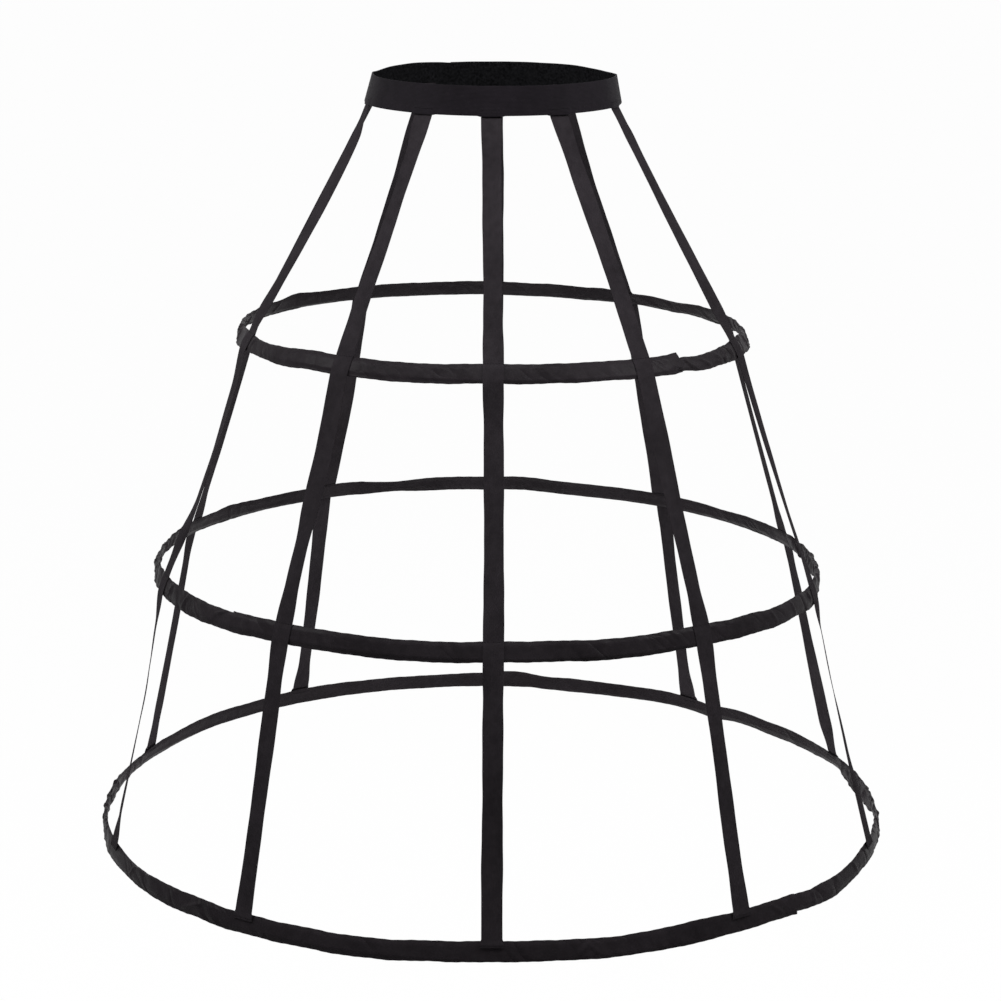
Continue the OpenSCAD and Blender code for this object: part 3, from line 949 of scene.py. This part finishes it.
def new_crinkle():
    """Small soft folds of thin cloth, which run askew to its length."""
    tree, given, result = new_group(
        "crinkle", (("Place", "Vector"), ("Cloth", "Vector")), (("Height", "Float"), ("Fold", "Float")))
    folds = noise(tree, given["Cloth"], 1, 2, (120, 300, 1), 0.8)
    ridge = calc(tree, "ABSOLUTE", calc(tree, "SUBTRACT", folds, 0.5))
    soft = calc(tree, "POWER", calc(tree, "MULTIPLY", ridge, 4), 0.7)
    pucker = noise(tree, given["Place"], 260, 2, (1, 1, 1), 0.5)
    height = calc(tree, "MULTIPLY_ADD", pucker, 0.45, calc(tree, "MULTIPLY", soft, 0.55))
    # Longer folds that cross the casing askew, sharp along their crests
    askew = add_node(tree, "Mapping", (
        ("Vector", given["Cloth"]), ("Rotation", (0, 0, 0.9)), ("Scale", (0.019, 0.055, 1)),
    ), vector_type="TEXTURE")
    streak = noise(tree, askew.outputs[0], 1, 1, (1, 1, 1), 0.6)
    crest = calc(tree, "ABSOLUTE", calc(tree, "SUBTRACT", streak, 0.5))
    patch = spread(tree, noise(tree, given["Place"], 24, 1), 0.42, 0.60, 0.15, 1)
    fold = calc(tree, "MULTIPLY", calc(tree, "POWER", calc(tree, "MULTIPLY", crest, 4), 0.8), patch)
    fill(tree, result, {"Height": height, "Fold": fold})
    return tree


weave_group = new_weave()
rib_group = new_ribs()
wear_group = new_wear()
crinkle_group = new_crinkle()


def new_material(name, **constants):
    """A material whose shader holds these constants, with its object and cloth coordinates."""
    material = bpy.data.materials.new(name)
    material.use_nodes = True
    tree = material.node_tree
    shader = tree.nodes["Principled BSDF"]
    fill(tree, shader, {key.replace("_", " "): value for key, value in constants.items()})
    place = add_node(tree, "TexCoord").outputs["Object"]
    cloth = add_node(tree, "UVMap", (), uv_map="cloth").outputs[0]
    return material, tree, shader, place, cloth


def shade_of(tree, colour, tone, lint=None, low=0.7, high=1.35):
    """A colour that varies with the tone, with lint given as its specks and their strength."""
    ends = [add_node(tree, "RGB").outputs[0] for _ in range(2)]
    for end, share in zip(ends, (low, high)):
        end.default_value = (*(part * share for part in colour), 1)
    mixed = add_node(tree, "Mix", data_type="RGBA")
    fill(tree, mixed, {0: tone, 6: ends[0], 7: ends[1]})
    if lint is None:
        return mixed.outputs[2]
    speckled = add_node(tree, "Mix", data_type="RGBA")
    fill(tree, speckled, {0: calc(tree, "MULTIPLY", *lint), 6: mixed.outputs[2], 7: (*LINT, 1)})
    return speckled.outputs[2]


def bumped(tree, *layers):
    """A normal from layers of height, each with its depth in metres."""
    normal = None
    for height, depth in layers:
        inputs = {"Height": height, "Distance": depth, "Strength": 1.0}
        if normal:
            inputs["Normal"] = normal
        normal = add_node(tree, "Bump", inputs.items()).outputs[0]
    return normal


def make_satin():
    """Thin black satin: long floats that shine along its length, finely crinkled."""
    material, tree, shader, place, cloth = new_material(
        "black_satin", IOR=1.07, Anisotropic=0.35, Sheen_Weight=0.004, Sheen_Roughness=0.4)
    wear = use_group(tree, wear_group, Place=place)
    crinkle = use_group(tree, crinkle_group, Place=place, Cloth=cloth)
    floats = noise(tree, cloth, 1, 2, (300, 4200, 1))
    creased = add_node(tree, "Attribute", (), attribute_name="creased").outputs["Fac"]
    depth = calc(tree, "MULTIPLY_ADD", creased, 0.0002, 0.00006)
    fold_depth = calc(tree, "MULTIPLY_ADD", creased, 0.0052, 0.0008)
    tangent = add_node(tree, "Tangent", (), direction_type="UV_MAP", uv_map="cloth").outputs[0]
    fill(tree, shader, {
        "Base Color": shade_of(tree, BLACK_SATIN, wear["Tone"], (wear["Lint"], 0.25)),
        "Roughness": spread(tree, wear["Tone"], 0, 1, 0.30, 0.40),
        "Tangent": tangent,
        "Normal": bumped(
            tree, (crinkle["Fold"], fold_depth), (crinkle["Height"], depth), (floats, 0.00004)),
    })
    return material


def make_tape_weave():
    """Plain woven black tape with specks of lint."""
    material, tree, shader, place, cloth = new_material(
        "tape_weave", IOR=1.06, Sheen_Weight=0.003, Sheen_Roughness=0.5)
    wear = use_group(tree, wear_group, Place=place)
    weave = use_group(tree, weave_group, Cloth=cloth, Pitch_Along=0.00042, Pitch_Across=0.00055)
    ribs = use_group(tree, rib_group, Cloth=cloth, Pitch=0.0016)
    slack = noise(tree, cloth, 1, 2, (26, 60, 1))
    fill(tree, shader, {
        "Base Color": shade_of(tree, BLACK_TAPE, wear["Tone"], (wear["Lint"], 0.3)),
        "Roughness": spread(tree, weave["Gap"], 0, 1, 0.72, 0.86),
        "Normal": bumped(tree, (slack, 0.0012), (ribs["Height"], 0.00003), (weave["Height"], 0.00008)),
    })
    return material


def make_elastic():
    """The band's woven outer face, ribbed along its length."""
    material, tree, shader, place, cloth = new_material(
        "band_elastic", IOR=1.10, Sheen_Weight=0.006, Sheen_Roughness=0.5)
    wear = use_group(tree, wear_group, Place=place)
    ribs = use_group(tree, rib_group, Cloth=cloth, Pitch=0.0012)
    weave = use_group(tree, weave_group, Cloth=cloth, Pitch_Along=0.0007, Pitch_Across=0.0006)
    fill(tree, shader, {
        "Base Color": shade_of(tree, BLACK_ELASTIC, wear["Tone"], (wear["Lint"], 0.4)),
        "Roughness": spread(tree, weave["Gap"], 0, 1, 0.55, 0.75),
        "Normal": bumped(
            tree, (ribs["Height"], 0.00012), (weave["Height"], 0.00008), (wear["Grain"], 0.00005)),
    })
    return material


def make_plush_and_painted_shade():
    """The band's brushed inner face, soft and dull, with a mottled nap; its colour is darker than the
    outer face's, as painted shade inside the band.
    """
    material, tree, shader, place, _ = new_material(
        "elastic_plush_painted_shade", IOR=1.01, Sheen_Weight=0.001, Sheen_Roughness=0.8)
    wear = use_group(tree, wear_group, Place=place)
    nap = noise(tree, place, 420, 3, (1, 1, 1), 0.6)
    tufts = spread(tree, nap, 0.35, 0.7, 0, 1)
    fill(tree, shader, {
        "Base Color": shade_of(tree, BLACK_PLUSH_AND_PAINTED_SHADE, tufts, (wear["Lint"], 0.3), 0.6, 2.2),
        "Roughness": spread(tree, nap, 0, 1, 0.8, 0.95),
        "Normal": bumped(tree, (nap, 0.0005), (wear["Grain"], 0.0002)),
    })
    return material


def make_thread_and_painted_shade():
    """Sewing thread, twisted from two plies, darker than the tape as painted shade along the grooves
    that the stitches press in.
    """
    material, tree, shader, place, _ = new_material(
        "sewing_thread_painted_shade", IOR=1.08, Sheen_Weight=0.005, Sheen_Roughness=0.5)
    wear = use_group(tree, wear_group, Place=place)
    plies = noise(tree, place, 2600, 1, (1, 1, 0.4))
    fill(tree, shader, {
        "Base Color": shade_of(tree, BLACK_THREAD_AND_PAINTED_SHADE, wear["Tone"]),
        "Roughness": spread(tree, plies, 0, 1, 0.45, 0.65),
        "Normal": bumped(tree, (plies, 0.00008)),
    })
    return material


def make_metal(name, colour, stretch):
    """Bare metal with fine lines from rolling or pressing."""
    material, tree, shader, place, _ = new_material(name, Metallic=1.0, Anisotropic=0.3)
    wear = use_group(tree, wear_group, Place=place)
    lines = noise(tree, place, 500, 3, stretch)
    fill(tree, shader, {
        "Base Color": shade_of(tree, colour, wear["Tone"], None, 0.85, 1.08),
        "Roughness": spread(tree, lines, 0.2, 0.8, 0.26, 0.42),
        "Normal": bumped(tree, (lines, 0.00003)),
    })
    return material


satin = make_satin()
tape_weave = make_tape_weave()
elastic = make_elastic()
plush_and_painted_shade = make_plush_and_painted_shade()
thread_and_painted_shade = make_thread_and_painted_shade()
spring_steel = make_metal("spring_steel", STEEL, (0.1, 0.1, 6))
crimped_metal = make_metal("crimped_metal", CRIMPED_METAL, (1, 1, 0.3))


def dress(obj, material):
    obj.data.materials.clear()
    obj.data.materials.append(material)


# The scene


def add_camera():
    tilt = (math.radians(90 - CAMERA_DIP), 0, 0)
    bpy.ops.object.camera_add(location=CAMERA_PLACE, rotation=tilt)
    camera = bpy.context.object
    camera.data.lens = CAMERA_LENS
    camera.data.sensor_width = SENSOR
    camera.data.clip_end = 50
    bpy.context.scene.camera = camera


def add_light(name, place, aim, size, power):
    """A large soft lamp that faces a point."""
    lamp = bpy.data.lights.new(name, "AREA")
    lamp.shape = "RECTANGLE"
    lamp.size, lamp.size_y = size
    lamp.energy = power
    obj = bpy.data.objects.new(name, lamp)
    obj.location = place
    obj.rotation_euler = (Vector(aim) - Vector(place)).to_track_quat("-Z", "Y").to_euler()
    bpy.context.collection.objects.link(obj)


def seen_rays(tree):
    """1 for rays that come from the camera, straight or by way of glass or a shine, and else 0."""
    path = add_node(tree, "LightPath").outputs
    seen = calc(tree, "MAXIMUM", path["Is Camera Ray"], path["Is Transmission Ray"])
    return calc(tree, "MAXIMUM", seen, path["Is Glossy Ray"])


def add_stage():
    """A pale floor as far below the waist as when the cage is worn, and a white surround."""
    clear_selection()
    bpy.ops.mesh.primitive_plane_add(size=30, location=(0, 0, -WAIST_HEIGHT))
    floor = bpy.context.object
    floor.name = "floor"
    material, tree, shader, place, _ = new_material("pale_floor")
    dust = noise(tree, place, 3, 3)
    fill(tree, shader, {
        "Base Color": shade_of(tree, FLOOR_COLOUR, dust, None, 0.99, 1.01),
        "Roughness": spread(tree, dust, 0, 1, 0.85, 0.95),
    })
    glow = add_node(tree, "Emission", (("Color", (1, 1, 1, 1)),))
    mix = add_node(tree, "MixShader")
    fill(tree, mix, {
        0: calc(tree, "MULTIPLY", seen_rays(tree), FLOOR_GLOW), 1: shader.outputs[0], 2: glow.outputs[0],
    })
    fill(tree, tree.nodes["Material Output"], {"Surface": mix.outputs[0]})
    dress(floor, material)

    world = bpy.data.worlds.new("surround")
    world.use_nodes = True
    bpy.context.scene.world = world
    tree = world.node_tree
    plain = fill(tree, tree.nodes["Background"], {"Color": (1, 1, 1, 1), "Strength": WORLD_LIGHT})
    white = add_node(tree, "Background", (("Color", (1, 1, 1, 1)), ("Strength", 1.0)))
    mix = add_node(tree, "MixShader")
    fill(tree, mix, {0: seen_rays(tree), 1: plain.outputs[0], 2: white.outputs[0]})
    fill(tree, tree.nodes["World Output"], {"Surface": mix.outputs[0]})


add_camera()
add_stage()
add_light("left_lamp", (-1.7, -0.45, 0.85), (0, 0, -0.2), (0.7, 0.7), 39)
add_light("right_lamp", (1.7, -0.45, 0.85), (0, 0, -0.2), (0.7, 0.7), 40)
add_light("top_lamp", (0, -0.75, 0.8), (0, 0, -0.15), (1.1, 0.6), 21)
add_light("floor_bounce", (0, -0.1, -1.02), (0, 0.1, -0.2), (0.6, 0.35), 6)
bpy.context.scene.view_settings.view_transform = "Standard"

for k, hoop in enumerate(hoops):
    hoop["seams"] = [seam_turn(index, k) for index in range(len(TAPES))]

for k, name in enumerate(HOOPS):
    cloth, length = casing(k)
    dress(cloth, satin)
    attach(cloth, "root")
    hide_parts(name + "_casing")
    rows = hoop_stitches(k)
    dress(rows, thread_and_painted_shade)
    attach(rows, "root")
    dress(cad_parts[name + "_bone"], spring_steel)
    dress(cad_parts[name + "_bone_sleeve"], crimped_metal)

for i, name in enumerate(TAPES):
    cloth, length = tape(i)
    dress(cloth, tape_weave)
    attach(cloth, "root")
    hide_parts(name)

cloth, length = waistband()
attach(cloth, "root")
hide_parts("waistband")
rows = band_stitches()
dress(rows, thread_and_painted_shade)
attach(rows, "root")
